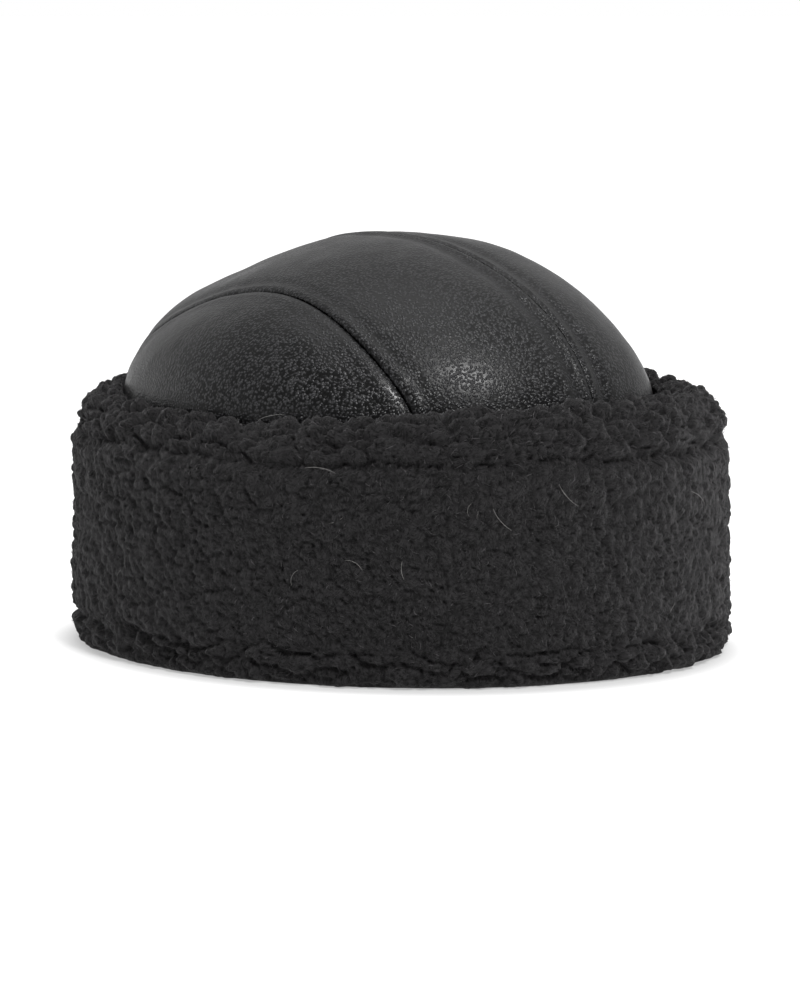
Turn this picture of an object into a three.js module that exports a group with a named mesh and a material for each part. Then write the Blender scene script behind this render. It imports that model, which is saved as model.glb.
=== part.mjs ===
// A sheepskin roller hat: a low domed crown of four leather-faced panels and a deep
// turned-up cuff with its curly fleece outside. The hat lies on its rolled foot.
// Millimetres, +Z up, the front of the hat faces -Y, the origin is the middle of its footprint.
import * as THREE from 'three';

// Driving dimensions of the crown, measured on its leather.
const CROWN = {
  halfWidth: 95.5, // across, ear to ear
  halfLength: 107.5, // front to back
  setBack: 4, // the crown's middle lies this far behind the cuff's
  lowerEdge: 60, // height of the hidden seam that joins crown and cuff
  rim: 93, // height where the wall turns into the dome
  top: 159.5,
  roundness: 1.8, // powers of the dome's section
  fullness: 0.56,
  skin: 2, // thickness of the leather
  fleece: 9, // depth of the wool inside
  sidePuff: 3, // how far each panel swells between its seams
  topPuffRight: 2,
  topPuffLeft: 3.2,
  sideSwellEnd: 0.6, // a side panel has swollen fully at this share of its depth
  topSwellPower: 0.8, // under 1, so that a top panel rises fast from its seams
  gripped: 0.5, // the share of the swell that the cuff presses out at the rim
  hollow: { u: -0.33, v: 0.2, depth: 2.2, reach: 0.3 }, // a broad shallow dent in the top
  crease: 1, // depth of the groove at a seam
  creaseWidth: 1.6,
};
// The side seam's way over the crown, in plan: along the hat from front (-) to back (+), and
// how far it lies from the middle line.
const SIDE_SEAM = [
  { along: -66, across: 73.5 },
  { along: -46, across: 73 },
  { along: -12, across: 65 },
  { along: 25, across: 58.5 },
  { along: 55, across: 55 },
  { along: 84, across: 50 },
];
// The centre seam leans to the right ear at the front: its u is shift + lean * v + bow * v * v.
const CENTRE_SEAM = { shift: -0.01, lean: 0.05, bow: -0.06 };
const SEAM_GAP = 0.4; // between neighbouring panels
const LAYER_GAP = 0.8; // between leather and wool, which are curved both ways
const JOIN_GAP = 0.3; // at the seam between crown and cuff

// The wool inside the crown: its mesh, and the lumps that it has towards the head.
const LINING = {
  columns: 32,
  wallRows: [1, 0.5], // shares of the wall's height below the rim
  domeRows: [0, 0.14, 0.28, 0.44, 0.62, 0.8, 1], // shares of the way from rim to top
  lump: 1.2,
};

// The cuff. Its face is the widest line of the hat.
const CUFF = {
  halfWidth: 119.5,
  halfLength: 134.5,
  depth: 27, // from the crown's leather to that line
  lean: 2.5, // how far the top edge rises at the left ear and sinks at the right
};

// The cuff's skin: an upright strip folded at the foot into two legs. Distances are outwards
// from the crown's leather.
const STRIP = { thickness: 2, innerLeg: -2, outerLeg: 3, foldHeight: 14, top: 93 };

// The woolly side of the cuff, from the inside of the hat, under the foot, up the face and
// over the top edge. Each row is one stretch of the section: where it ends, the corner that
// it bends round (none for a straight one), the height of its locks and its number of steps.
const WOOL_START = { out: -10.5, z: 60 };
const WOOL = [
  { stretch: 'inside', out: -10.5, z: 13, lock: 1.2, steps: 4 },
  { stretch: 'inside_roll', out: -3, z: 0, cornerOut: -10.5, cornerZ: 0, lock: 0, steps: 2 },
  { stretch: 'foot', out: 21, z: 0, lock: 0, steps: 1 },
  { stretch: 'outside_roll', out: 25.3, z: 14, cornerOut: 26.5, cornerZ: 0, lock: 2.2, steps: 3 },
  { stretch: 'face', out: 24.2, z: 78, lock: 2.8, steps: 8 },
  { stretch: 'top_roll', out: 10, z: 99.5, cornerOut: 24, cornerZ: 93, lock: 2.4, steps: 4 },
  { stretch: 'crest', out: 2.8, z: 95, cornerOut: 3, cornerZ: 104, lock: 1.2, steps: 2 },
];
// The locks of the cuff's wool. Heights are shares of the stretch's own lock height.
const LOCK = {
  columns: 88, // two columns to a lock, so 44 locks round the cuff
  least: 0.75, // the lowest tip
  spread: 0.5, // from the lowest tip to the highest
  hollow: 0.15, // how far the wool between locks rises or sinks
  wander: 0.16, // how far a lock strays sideways, as a share of a column
};

const LEATHER = { color: 0x2b2b2b, roughness: 0.5, metalness: 0 };
const SUEDE = { color: 0x262626, roughness: 0.85, metalness: 0 };
const FLEECE = { color: 0x1d1b1c, roughness: 1, metalness: 0 };

// Places on the crown are given in plan as u across, from -1 at the right ear to 1 at the
// left, and v along, from -1 at the front to 1 at the back.

const seamCurve = new THREE.CubicInterpolant(
  SIDE_SEAM.map(({ along }) => along),
  SIDE_SEAM.map(({ across }) => across),
  1,
);

/** Where a side seam runs: u as a function of v, on the left side of the hat. */
function sideSeam(v) {
  return seamCurve.evaluate(v * CROWN.halfLength)[0] / CROWN.halfWidth;
}

/** Where the centre seam runs: u as a function of v. */
function centreSeam(v) {
  return CENTRE_SEAM.shift + CENTRE_SEAM.lean * v + CENTRE_SEAM.bow * v * v;
}

/** How far a panel swells above the plain dome at a place in plan, less where the cuff grips. */
function puffAt(u, v) {
  const free = 1 - CROWN.gripped * Math.hypot(u, v) ** 4;
  const side = sideSeam(v);
  if (Math.abs(u) > side) {
    const share = Math.min(1, (Math.abs(u) - side) / (1 - side) / CROWN.sideSwellEnd);
    return CROWN.sidePuff * free * Math.sin((share * Math.PI) / 2);
  }
  const centre = centreSeam(v);
  const [edge, puff] = u > centre ? [side, CROWN.topPuffLeft] : [-side, CROWN.topPuffRight];
  const swell = Math.sin((Math.PI * (u - centre)) / (edge - centre));
  return puff * free * swell ** CROWN.topSwellPower;
}

/** How far the leather dips into the nearest seams at a place in plan. */
function creaseAt(u, v) {
  const fromSide = Math.abs(Math.abs(u) - sideSeam(v)) * CROWN.halfWidth;
  const fromCentre = Math.abs(u - centreSeam(v)) * CROWN.halfWidth;
  const dip = (away) => CROWN.crease * Math.exp(-((away / CROWN.creaseWidth) ** 2));
  return dip(fromSide) + dip(fromCentre);
}

/** How deep the dent in the top is at a place in plan. */
function hollowAt(u, v) {
  const { hollow } = CROWN;
  const away = Math.hypot(u - hollow.u, v - hollow.v) / hollow.reach;
  return hollow.depth * Math.exp(-away * away);
}

/** A point of the crown, inset from its outer face. On the wall, drop goes below the rim. */
function crownPoint(u, v, { inset = 0, drop = 0, puffed = true, creased = false, raise = 0 }) {
  const reach = Math.min(1, Math.hypot(u, v));
  const rise = (1 - reach ** CROWN.roundness) ** CROWN.fullness;
  const height = CROWN.top - CROWN.rim - inset;
  const base = new THREE.Vector3(
    u * (CROWN.halfWidth - inset),
    v * (CROWN.halfLength - inset) + CROWN.setBack,
    CROWN.rim + height * rise - drop,
  );
  const outwards = new THREE.Vector3(
    u / CROWN.halfWidth,
    v / CROWN.halfLength,
    Math.sqrt(1 - reach * reach) / (CROWN.top - CROWN.rim),
  ).normalize();
  const fade = 1 - drop / (CROWN.rim - CROWN.lowerEdge);
  const puff = puffed ? puffAt(u, v) : 0;
  const relief = puff - (creased ? creaseAt(u, v) : 0) - hollowAt(u, v);
  return base.addScaledVector(outwards, relief * fade + raise);
}

/** Where a line in plan, u as a function of v, crosses the crown's oval on one side (-1 or 1). */
function rimCrossing(line, side) {
  const halvings = 40;
  let inside = 0;
  let outside = side;
  for (let i = 0; i < halvings; i++) {
    const middle = (inside + outside) / 2;
    if (Math.hypot(line(middle), middle) < 1) inside = middle;
    else outside = middle;
  }
  return inside;
}

/** Evenly eased places along a line in plan, from its front crossing to its back crossing. */
function placesAlong(line, steps) {
  const front = rimCrossing(line, -1);
  const back = rimCrossing(line, 1);
  return Array.from({ length: steps + 1 }, (_, i) => {
    const ease = Math.sin((i / steps - 0.5) * Math.PI);
    const v = (front + back) / 2 + (ease * (back - front)) / 2;
    return { u: line(v), v };
  });
}

/**
 * A closed solid from a loop of rows of points. Each row is joined to the next and the last
 * to the first. The columns go round too, or else both ends are closed, row against row.
 */
function solidFromLoop(loop, { round }) {
  const corners = [];
  const index = [];
  const known = new Map();
  const corner = (p) => {
    const key = [p.x, p.y, p.z].map((c) => Math.round(c * 1e3)).join();
    if (!known.has(key)) {
      known.set(key, corners.length / 3);
      corners.push(p.x, p.y, p.z);
    }
    return known.get(key);
  };
  const triangle = (a, b, c) => {
    if (a !== b && b !== c && c !== a) index.push(a, b, c);
  };
  const quad = (a, b, c, d) => {
    const [ia, ib, ic, id] = [a, b, c, d].map(corner);
    triangle(ia, ib, ic);
    triangle(ia, ic, id);
  };
  const columns = loop[0].length;
  const last = round ? columns : columns - 1;
  loop.forEach((row, r) => {
    const next = loop[(r + 1) % loop.length];
    for (let c = 0; c < last; c++) {
      const d = (c + 1) % columns;
      quad(row[c], next[c], next[d], row[d]);
    }
  });
  if (!round) {
    const half = loop.length / 2;
    for (let r = 0; r + 1 < half; r++) {
      const [outer, outerNext] = [loop[r], loop[r + 1]];
      const [inner, innerNext] = [loop[loop.length - 1 - r], loop[loop.length - 2 - r]];
      quad(outerNext[0], outer[0], inner[0], innerNext[0]);
      const e = columns - 1;
      quad(outer[e], outerNext[e], innerNext[e], inner[e]);
    }
  }
  const geometry = new THREE.BufferGeometry();
  geometry.setAttribute('position', new THREE.Float32BufferAttribute(corners, 3));
  geometry.setIndex(signedVolume(corners, index) < 0 ? index.reverse() : index);
  geometry.computeVertexNormals();
  return geometry;
}

/** The volume that the triangles enclose, negative where they face inwards. */
function signedVolume(corners, index) {
  const point = (i) => new THREE.Vector3().fromArray(corners, index[i] * 3);
  let sum = 0;
  for (let i = 0; i < index.length; i += 3) {
    sum += point(i).dot(point(i + 1).cross(point(i + 2))) / 6;
  }
  return sum;
}

const ALONG_STEPS = 24; // from the front of a panel to its back
const TOP_ROWS = [0, 0.05, 0.25, 0.5, 0.75, 0.95, 1]; // from centre seam to side seam
const SIDE_ROWS = [0, 0.09, 0.3, 0.55, 0.8, 1]; // from side seam to rim
const WALL_DROP = CROWN.rim - CROWN.lowerEdge - JOIN_GAP;

/** The grid of places on one half of the band over the top; side is -1 or 1. */
function topPanelPlaces(side) {
  const half = SEAM_GAP / 2 / CROWN.halfWidth;
  return TOP_ROWS.map((share) => {
    const line = (v) => {
      const inner = centreSeam(v) + side * half;
      const outer = side * (sideSeam(v) - half);
      return inner + (outer - inner) * share;
    };
    const arch = placesAlong(line, ALONG_STEPS);
    const ends = [arch[0], arch.at(-1)].map((place) => ({ ...place, drop: WALL_DROP }));
    return [ends[0], ...arch, ends[1]];
  });
}

/** The grid of places on a side panel, from its seam out to the rim and down the wall. */
function sidePanelPlaces(side) {
  const half = SEAM_GAP / 2 / CROWN.halfWidth;
  const seam = placesAlong((v) => side * (sideSeam(v) + half), ALONG_STEPS);
  const angle = (place) => Math.atan2(place.v, Math.abs(place.u));
  const [front, back] = [angle(seam[0]), angle(seam.at(-1))];
  const rim = seam.map((_, i) => {
    const turn = front + ((back - front) * i) / ALONG_STEPS;
    return { u: side * Math.cos(turn), v: Math.sin(turn) };
  });
  const rows = SIDE_ROWS.map((share) =>
    seam.map((from, i) => {
      const eased = Math.sin((share * Math.PI) / 2);
      return {
        u: from.u + (rim[i].u - from.u) * eased,
        v: from.v + (rim[i].v - from.v) * eased,
      };
    }),
  );
  return [...rows, rim.map((place) => ({ ...place, drop: WALL_DROP }))];
}

/** A leather panel of the crown over a grid of places. */
function panelGeometry(places) {
  const outer = places.map((row) =>
    row.map(({ u, v, drop = 0 }) => crownPoint(u, v, { drop, creased: true })),
  );
  const inner = places.map((row) =>
    row.map(({ u, v, drop = 0 }) => crownPoint(u, v, { drop, inset: CROWN.skin })),
  );
  return solidFromLoop([...outer, ...inner.reverse()], { round: false });
}

/** A number from 0 to 1 that looks random and is the same each time for a row and column. */
function scatter(row, column) {
  return THREE.MathUtils.seededRandom(1 + row * LOCK.columns + column);
}

/** The wool inside the crown: a lined dome, smooth at the skin and lumpy towards the head. */
function crownFleeceGeometry() {
  const layer = (inset, lump) => {
    const row = (reach, drop, r) =>
      Array.from({ length: LINING.columns }, (_, c) => {
        const turn = (c / LINING.columns) * 2 * Math.PI;
        const dent = (c + r) % 2 ? lump * scatter(r, c) * reach : 0;
        const place = { inset, drop, puffed: false, raise: -dent };
        return crownPoint(reach * Math.sin(turn), -reach * Math.cos(turn), place);
      });
    const wall = LINING.wallRows.map((share, r) => row(1, WALL_DROP * share, r));
    const dome = LINING.domeRows.map((share, r) =>
      row(Math.cos((share * Math.PI) / 2), 0, wall.length + r),
    );
    return [...wall, ...dome];
  };
  const outer = layer(CROWN.skin + LAYER_GAP, 0);
  const inner = layer(CROWN.skin + CROWN.fleece, LINING.lump);
  return solidFromLoop([...outer, ...inner.reverse()], { round: true });
}

/** A point of the cuff: out is the distance from the crown's leather, turn goes from the front. */
function cuffPoint(turn, out, z) {
  const share = out / CUFF.depth;
  const width = CROWN.halfWidth + (CUFF.halfWidth - CROWN.halfWidth) * share;
  const length = CROWN.halfLength + (CUFF.halfLength - CROWN.halfLength) * share;
  const middle = CROWN.setBack * (1 - share);
  const above = Math.max(0, z - CROWN.lowerEdge) / (STRIP.top - CROWN.lowerEdge);
  const height = z + CUFF.lean * Math.sin(turn) * above;
  return new THREE.Vector3(width * Math.sin(turn), middle - length * Math.cos(turn), height);
}

/** The rows of a ring round the hat from a section of points {out, z}. */
function ringRows(section, columns) {
  return section.map(({ out, z }) =>
    Array.from({ length: columns }, (_, c) => cuffPoint((c / columns) * 2 * Math.PI, out, z)),
  );
}

/** Points of the half circle under the fold, at a distance round the fold's middle. */
function foldArc(radius, steps) {
  const middle = (STRIP.innerLeg + STRIP.outerLeg + STRIP.thickness) / 2;
  return Array.from({ length: steps + 1 }, (_, i) => {
    const turn = (i / steps) * Math.PI;
    return {
      out: middle - radius * Math.cos(turn),
      z: STRIP.foldHeight - radius * Math.sin(turn),
    };
  });
}

const FOLD_RADIUS = (STRIP.outerLeg + STRIP.thickness - STRIP.innerLeg) / 2;

/** The cuff's skin: up inside, down, round the fold and up again. */
function cuffSkinGeometry() {
  const outside = [
    { out: STRIP.innerLeg, z: CROWN.lowerEdge },
    ...foldArc(FOLD_RADIUS, 4),
    { out: STRIP.outerLeg + STRIP.thickness, z: STRIP.top },
  ];
  const inside = [
    { out: STRIP.outerLeg, z: STRIP.top },
    ...foldArc(FOLD_RADIUS - STRIP.thickness, 2).reverse(),
    { out: STRIP.innerLeg + STRIP.thickness, z: CROWN.lowerEdge },
  ];
  return solidFromLoop(ringRows([...outside, ...inside], LOCK.columns / 2), { round: true });
}

/** The woolly side of the section: points with the outward direction and the lock height there. */
function woolSection() {
  const points = [];
  let from = new THREE.Vector2(WOOL_START.out, WOOL_START.z);
  for (const { out, z, cornerOut, cornerZ, lock, steps } of WOOL) {
    const to = new THREE.Vector2(out, z);
    const bend = cornerOut === undefined ? null : new THREE.Vector2(cornerOut, cornerZ);
    const curve = bend
      ? new THREE.QuadraticBezierCurve(from, bend, to)
      : new THREE.LineCurve(from, to);
    for (let i = points.length ? 1 : 0; i <= steps; i++) {
      const at = curve.getPoint(i / steps);
      const along = curve.getTangent(i / steps);
      const height = i === steps ? lock / 2 : lock;
      points.push({ out: at.x, z: at.y, dirOut: along.y, dirZ: -along.x, lock: height });
    }
    from = to;
  }
  return points;
}

/** The cuff's wool, with its locks standing out of one backing that wraps round the fold. */
function cuffFleeceGeometry() {
  const step = (2 * Math.PI) / LOCK.columns;
  const wool = woolSection().map(({ out, z, dirOut, dirZ, lock }, r) =>
    Array.from({ length: LOCK.columns }, (_, c) => {
      const onLock = r % 2 === 1 && (c + (r - 1) / 2) % 2 === 0;
      const chance = scatter(r, c);
      const share = onLock ? LOCK.least + LOCK.spread * chance : LOCK.hollow * (2 * chance - 1);
      const stray = lock ? LOCK.wander * (2 * scatter(c, r) - 1) : 0;
      const height = lock * share;
      return cuffPoint((c + stray) * step, out + dirOut * height, Math.max(0, z + dirZ * height));
    }),
  );
  const backing = ringRows(
    [
      { out: STRIP.outerLeg + STRIP.thickness + LAYER_GAP, z: STRIP.top + JOIN_GAP },
      ...foldArc(FOLD_RADIUS + LAYER_GAP, 4).reverse(),
      { out: STRIP.innerLeg - LAYER_GAP, z: CROWN.lowerEdge },
    ],
    LOCK.columns,
  );
  return solidFromLoop([...wool, ...backing], { round: true });
}

/** A named mesh with its own material. */
function piece(name, geometry, finish) {
  const mesh = new THREE.Mesh(geometry, new THREE.MeshStandardMaterial(finish));
  mesh.name = name;
  return mesh;
}

const hat = new THREE.Group();
hat.name = 'roller_hat';
for (const [name, side] of [['right', -1], ['left', 1]]) {
  hat.add(piece(`crown_side_${name}`, panelGeometry(sidePanelPlaces(side)), LEATHER));
  hat.add(piece(`crown_top_${name}`, panelGeometry(topPanelPlaces(side)), LEATHER));
}
hat.add(piece('crown_fleece', crownFleeceGeometry(), FLEECE));
hat.add(piece('cuff_skin', cuffSkinGeometry(), SUEDE));
hat.add(piece('cuff_fleece', cuffFleeceGeometry(), FLEECE));

export default hat;
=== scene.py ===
"""A sheepskin roller hat: four leather panels, curly wool inside the crown, and a turned-up
cuff of two wool rings, whose curls are relief with fine hairs over them. Metres, +Z up, the
front of the hat faces -Y, as in the frame."""

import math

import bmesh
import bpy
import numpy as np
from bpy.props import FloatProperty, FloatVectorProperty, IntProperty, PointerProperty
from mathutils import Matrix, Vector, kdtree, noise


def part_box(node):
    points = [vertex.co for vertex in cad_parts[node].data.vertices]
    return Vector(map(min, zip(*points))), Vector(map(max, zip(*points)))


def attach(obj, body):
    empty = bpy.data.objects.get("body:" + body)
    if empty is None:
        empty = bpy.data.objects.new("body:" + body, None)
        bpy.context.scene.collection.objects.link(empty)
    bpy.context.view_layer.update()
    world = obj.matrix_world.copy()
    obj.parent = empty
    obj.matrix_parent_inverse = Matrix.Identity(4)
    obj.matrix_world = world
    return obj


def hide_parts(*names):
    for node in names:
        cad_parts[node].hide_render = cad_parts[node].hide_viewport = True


bl_info = {
    "name": "Sheepskin Roller Hat",
    "version": (1, 0, 0),
    "blender": (4, 5, 0),
    "location": "View3D > Sidebar > Hat",
    "description": "Makes the leather, the wool and the stage of a sheepskin roller hat",
    "category": "Add Mesh",
}

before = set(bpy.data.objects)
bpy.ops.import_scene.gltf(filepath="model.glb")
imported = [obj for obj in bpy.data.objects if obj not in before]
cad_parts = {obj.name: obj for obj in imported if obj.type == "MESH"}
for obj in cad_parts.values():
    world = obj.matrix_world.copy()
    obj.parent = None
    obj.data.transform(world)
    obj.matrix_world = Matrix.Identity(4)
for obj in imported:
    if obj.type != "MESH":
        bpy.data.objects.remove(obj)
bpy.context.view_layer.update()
CROWN_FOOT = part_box("crown_top_left")[0].z
SKIN_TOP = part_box("cuff_skin")[1].z
MM = 0.001
TINY = 1e-9  # keeps a division from meeting zero


def linear(hex_colour):
    """An sRGB hex colour as linear red, green and blue."""
    parts = [int(hex_colour[i:i + 2], 16) / 255 for i in (1, 3, 5)]
    return tuple(c / 12.92 if c <= 0.04045 else ((c + 0.055) / 1.055) ** 2.4 for c in parts)


def length_property(name, description, metres):
    """A property that holds a length."""
    return FloatProperty(name=name, description=description, default=metres, unit="LENGTH")


def colour_property(name, description, hex_colour):
    """A property that holds a colour."""
    return FloatVectorProperty(
        name=name, description=description, subtype="COLOR", default=linear(hex_colour))


class CrownSizes(bpy.types.PropertyGroup):
    """Sizes and colour of the leather crown"""
    half_width: length_property("Half width", "Crown's leather, middle to ear", 95.5 * MM)
    half_length: length_property("Half length", "Crown's leather, middle to front", 107.5 * MM)
    set_back: length_property("Set back", "Crown's middle behind the cuff's", 4 * MM)
    lower_edge: length_property(
        "Lower edge", "Height of the hidden seam of crown and cuff", CROWN_FOOT)
    rim: length_property("Rim", "Height where the wall turns into the dome", 93 * MM)
    top: length_property("Top", "Height of the plain dome", 159.5 * MM)
    roundness: FloatProperty(
        name="Roundness", description="Inner power of the dome's section", default=1.8)
    fullness: FloatProperty(
        name="Fullness", description="Outer power of the dome's section", default=0.56)
    skin: length_property("Skin", "Thickness of the leather", 1.6 * MM)
    wool: length_property("Wool", "From the leather's face to the wool inside", 10.5 * MM)
    side_puff: length_property("Side puff", "Swell of a side panel", 3 * MM)
    right_puff: length_property("Right puff", "Swell of the right top panel", 2 * MM)
    left_puff: length_property("Left puff", "Swell of the left top panel", 3.2 * MM)
    seam_gap: length_property("Seam gap", "Between neighbouring panels", 0.3 * MM)
    crease: length_property("Crease", "Depth of the groove at a seam", 0.85 * MM)
    crease_width: length_property("Crease width", "Half width of the groove", 0.65 * MM)
    ridge: length_property("Ridge", "Height of the ridge over the allowance", 0.3 * MM)
    colour: colour_property("Leather", "Dyed leather", "#121213")


class CuffSizes(bpy.types.PropertyGroup):
    """Sizes of the turned-up cuff and colours of its wool"""
    half_width: length_property("Half width", "Cuff's face, middle to ear", 119.5 * MM)
    half_length: length_property("Half length", "Cuff's face, middle to front", 134.5 * MM)
    depth: length_property("Depth", "From the crown's leather to the face", 27 * MM)
    lean: length_property("Lean", "Rise of the top edge at the left ear", 2.5 * MM)
    colour: colour_property("Wool", "Dyed wool", "#151415")
    # The wool's colour on the tops of its curls. Down between them, painted shade darkens it.
    tip_colour: colour_property("Wool tips", "Unshaded tips of the curls", "#2A292A")
    sheen_colour: colour_property(
        "Wool sheen", "Light caught at a glancing angle", "#706F70")
    hair_colour: colour_property("Hairs", "Single hairs that catch the light", "#6A686A")


class CurlSizes(bpy.types.PropertyGroup):
    """Sizes and number of the curls and hairs"""
    pitch: length_property("Pitch", "From one curl of the cuff to the next", 3.5 * MM)
    hairs: IntProperty(
        name="Hairs", description="Fine curved hairs over the cuff's curls", default=36000)
    stray_spacing: length_property(
        "Stray hairs", "From one loose long pale hair to the next", 46 * MM)
    hair_radius: length_property("Hair radius", "Radius of a small bundle of hairs", 0.08 * MM)


# Shape of the crown


# The side seam's way over the crown in plan, in millimetres: along the hat from front (-) to
# back (+), and how far it lies from the middle line.
SIDE_SEAM = (
    {"along": -66, "across": 73.5},
    {"along": -46, "across": 73},
    {"along": -12, "across": 65},
    {"along": 25, "across": 58.5},
    {"along": 55, "across": 55},
    {"along": 84, "across": 50},
)
SEAM_DEGREE = 4  # of the smooth line through the side seam's places
# The centre seam's place across is shift + lean * v + bow * v * v.
CENTRE_SEAM = {"shift": -0.01, "lean": 0.05, "bow": -0.06}
SIDE_SWELL_END = 0.6  # a side panel has swollen fully at this share of its depth
TOP_SWELL_POWER = 0.8  # under 1, so that a top panel rises fast from its seams
GRIPPED = 0.5  # the share of the swell that the cuff presses out at the rim
HOLLOW = {"u": -0.33, "v": 0.2, "depth": 2.2 * MM, "reach": 0.3}


def side_seam(v, crown):
    """Where a side seam runs: u across as a function of v along, on the left of the hat."""
    along = np.array([row["along"] for row in SIDE_SEAM]) * MM
    across = np.array([row["across"] for row in SIDE_SEAM]) * MM
    curve = np.polyfit(along / crown.half_length, across / crown.half_width, SEAM_DEGREE)
    return np.polyval(curve, np.clip(v, along[0] / crown.half_length, along[-1] / crown.half_length))


def centre_seam(v):
    """Where the centre seam runs: u across as a function of v along."""
    return CENTRE_SEAM["shift"] + CENTRE_SEAM["lean"] * v + CENTRE_SEAM["bow"] * v * v


def puff(u, v, crown):
    """How far the panels swell above the plain dome."""
    free = 1 - GRIPPED * np.hypot(u, v) ** 4
    side = side_seam(v, crown)
    centre = centre_seam(v)
    outer = np.clip((np.abs(u) - side) / (1 - side) / SIDE_SWELL_END, 0, 1)
    side_swell = crown.side_puff * np.sin(outer * math.pi / 2)
    left = u > centre
    edge = np.where(left, side, -side)
    most = np.where(left, crown.left_puff, crown.right_puff)
    share = np.clip((u - centre) / (edge - centre), 0, 1)
    top_swell = most * np.sin(share * math.pi) ** TOP_SWELL_POWER
    return free * np.where(np.abs(u) > side, side_swell, top_swell)


def bell(distance, middle, width):
    """A soft bump from 0 to 1 round a distance."""
    away = (distance - middle) / width
    return np.exp(-away * away)


# The ridges and valleys along a seam, where the turned-in edges of the skins lie under it.
# Places and widths are in millimetres, heights are shares of the crown's ridge. On a side
# seam, a place above zero is on the top panel.
SIDE_RIDGES = (
    {"from_seam": 2.4, "width": 0.8, "height": 0.7},
    {"from_seam": 5, "width": 2, "height": -1.2},
    {"from_seam": -3, "width": 2, "height": 1.4},
)
CENTRE_RIDGES = (
    {"from_seam": 0, "width": 3.2, "height": 1.9},
    {"from_seam": 2.6, "width": 0.8, "height": 1.1},
    {"from_seam": 7, "width": 3, "height": -2.4},
)
CENTRE_GROOVE = {"depth": 0.4, "width": 0.8 * MM}  # the depth is a share of a side seam's


def add_ridges(relief, distance, rows, crown):
    """A seam's relief with its ridges and valleys added."""
    for row in rows:
        bump = bell(distance, row["from_seam"] * MM, row["width"] * MM)
        relief = relief + row["height"] * crown.ridge * bump
    return relief


def seam_relief(u, v, crown):
    """The groove along each seam, and the low ridges and valleys beside it."""
    aside = (side_seam(v, crown) - np.abs(u)) * crown.half_width
    middle = np.abs(u - centre_seam(v)) * crown.half_width
    side = -crown.crease * bell(aside, 0, crown.crease_width)
    centre = -CENTRE_GROOVE["depth"] * crown.crease * bell(middle, 0, CENTRE_GROOVE["width"])
    return add_ridges(side, aside, SIDE_RIDGES, crown) + add_ridges(centre, middle, CENTRE_RIDGES, crown)


def hollow(u, v):
    """The broad shallow dent in the top."""
    away = np.hypot(u - HOLLOW["u"], v - HOLLOW["v"]) / HOLLOW["reach"]
    return HOLLOW["depth"] * np.exp(-away * away)


# Soft swells and dips of the worn leather: places in plan, height and reach.
SWELLS = (
    {"u": -0.45, "v": 0.8, "height": 2.6 * MM, "reach": 0.24},
    {"u": -0.3, "v": 0.5, "height": -2.0 * MM, "reach": 0.17},
    {"u": -0.04, "v": 0.2, "height": 1.5 * MM, "reach": 0.14},
    {"u": 0.27, "v": 0.02, "height": -1.6 * MM, "reach": 0.24},
    {"u": 0.5, "v": -0.72, "height": -2.4 * MM, "reach": 0.24},
)


def swells(u, v):
    """The sum of the leather's swells and dips."""
    total = np.zeros(len(u))
    for row in SWELLS:
        away = np.hypot(u - row["u"], v - row["v"]) / row["reach"]
        total += row["height"] * np.exp(-away * away)
    return total


def crown_points(u, v, drop, crown, inset=0.0, panelled=True, raised=0.0):
    """Points of the crown over places in plan. On the wall, drop goes below the rim."""
    reach = np.minimum(1, np.hypot(u, v))
    rise = (1 - reach ** crown.roundness) ** crown.fullness
    height = crown.top - crown.rim - inset
    base = np.stack([
        u * (crown.half_width - inset),
        v * (crown.half_length - inset) + crown.set_back,
        crown.rim + height * rise - drop,
    ], 1)
    outwards = np.stack([
        u / crown.half_width,
        v / crown.half_length,
        np.sqrt(1 - reach * reach) / (crown.top - crown.rim),
    ], 1)
    outwards /= np.linalg.norm(outwards, axis=1)[:, None]
    fade = np.clip(1 - drop / (crown.rim - crown.lower_edge), 0, 1)
    relief = -hollow(u, v)
    if panelled:
        relief = relief + puff(u, v, crown) + seam_relief(u, v, crown) + swells(u, v)
    return base + outwards * (relief * fade + raised)[:, None]


HALVINGS = 40  # of the range in which a crossing is looked for


def rim_crossing(line, shares, side):
    """Where the lines of a family, u as a function of v and share, cross the crown's oval."""
    inside = np.zeros_like(shares)
    outside = np.full_like(shares, float(side))
    for _ in range(HALVINGS):
        middle = (inside + outside) / 2
        within = np.hypot(line(middle, shares), middle) < 1
        inside = np.where(within, middle, inside)
        outside = np.where(within, outside, middle)
    return inside


# Meshes


def object_from(name, bm):
    """A smooth object at the origin from a bmesh, which is freed."""
    mesh = bpy.data.meshes.new(name)
    bm.to_mesh(mesh)
    bm.free()
    mesh.polygons.foreach_set("use_smooth", np.ones(len(mesh.polygons), bool))
    piece = bpy.data.objects.new(name, mesh)
    bpy.context.scene.collection.objects.link(piece)
    return piece


def corners(piece):
    """The places of a mesh's vertices as rows."""
    flat = np.empty(len(piece.data.vertices) * 3)
    piece.data.vertices.foreach_get("co", flat)
    return flat.reshape(-1, 3)


def set_corners(piece, places):
    """Moves a mesh's vertices."""
    piece.data.vertices.foreach_set("co", np.asarray(places, float).ravel())
    piece.data.update()


def normals(piece):
    """The directions that a mesh's vertices face."""
    flat = np.empty(len(piece.data.vertices) * 3, np.float32)
    piece.data.vertex_normals.foreach_get("vector", flat)
    return flat.reshape(-1, 3).astype(float)


SEED_STEP = (3.7, 1.3, 7.1)  # how far the noise moves on for each seed


def wavy(places, size, seed):
    """Soft noise from about -1 to 1 at each place, with swells of a real size."""
    offset = Vector([seed * step for step in SEED_STEP])
    return np.array([noise.noise(Vector(p) / size + offset) for p in places])


MERGE_DISTANCE = 0.01 * MM


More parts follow.
